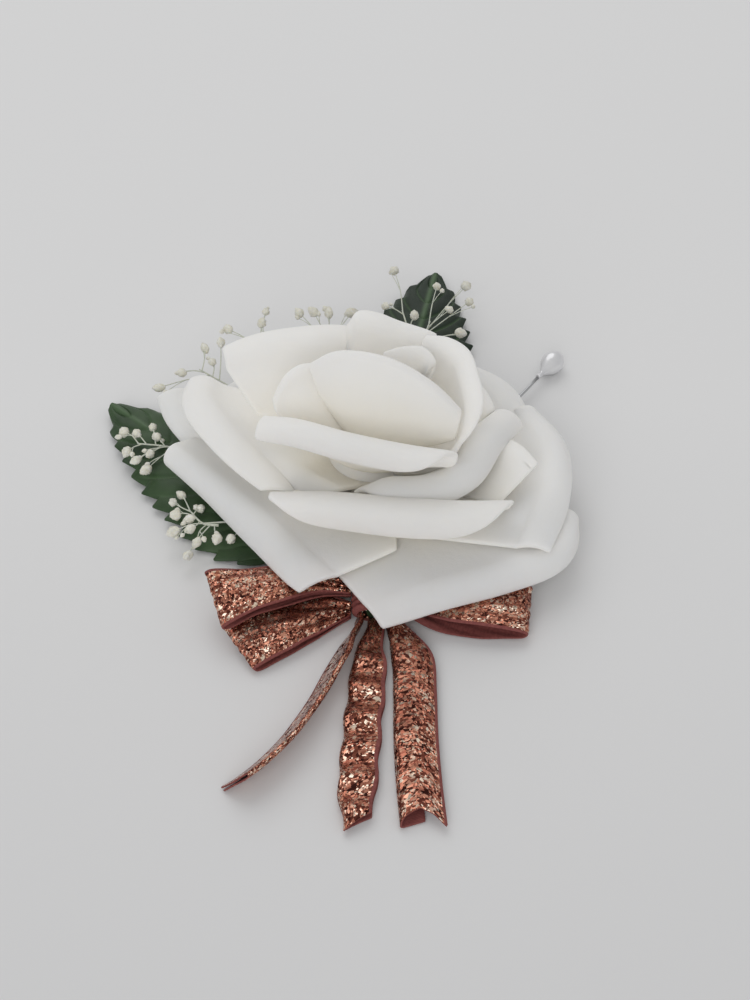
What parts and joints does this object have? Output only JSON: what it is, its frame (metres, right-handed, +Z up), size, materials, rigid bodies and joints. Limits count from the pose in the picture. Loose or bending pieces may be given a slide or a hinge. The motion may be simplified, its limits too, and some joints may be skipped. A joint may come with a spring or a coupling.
{
  "type": "boutonniere",
  "caption": "Boutonniere of a curled foam rose on two serrated leaves, with gypsophila sprays, a folded glitter ribbon bow with tails and a pearl-headed pin.",
  "frame": {"origin": "middle of the flat underside of the stem, on the surface that the boutonniere lies on", "axes": "+Z up, out of the rose's face; +Y from the bow's tails to the back leaf; +X to the right"},
  "size_m": [0.0967, 0.1486, 0.041],
  "materials": {
    "foam_petals": "soft matt foam sheet, ivory white",
    "floral_tape": "waxed crepe tape, matt",
    "leaf_cloth": "pressed satin cloth with moulded veins",
    "gypsophila": "matt ivory buds on thin stems",
    "glitter_ribbon": "fine rose-gold glitter on a dusty red ground with woven edges",
    "pin_steel": "polished wire",
    "pearl": "white pearl lustre"
  },
  "bodies": {
    "root": {"rose_bloom": "foam_petals", "rose_calyx": "floral_tape", "stem_bundle": "floral_tape", "leaf_left": "leaf_cloth", "leaf_back": "leaf_cloth", "gypsophila_left_upper": "gypsophila", "gypsophila_left_lower": "gypsophila", "gypsophila_back_left": "gypsophila", "gypsophila_back": "gypsophila", "bow_knot": "glitter_ribbon", "bow_loop_left_upper": "glitter_ribbon", "bow_loop_left_lower": "glitter_ribbon", "bow_loop_right": "glitter_ribbon", "bow_tail_left": "glitter_ribbon", "bow_tail_middle": "glitter_ribbon", "bow_tail_right": "glitter_ribbon", "pin_shaft": "pin_steel", "pin_pearl": "pearl"}
  },
  "joints": []
}
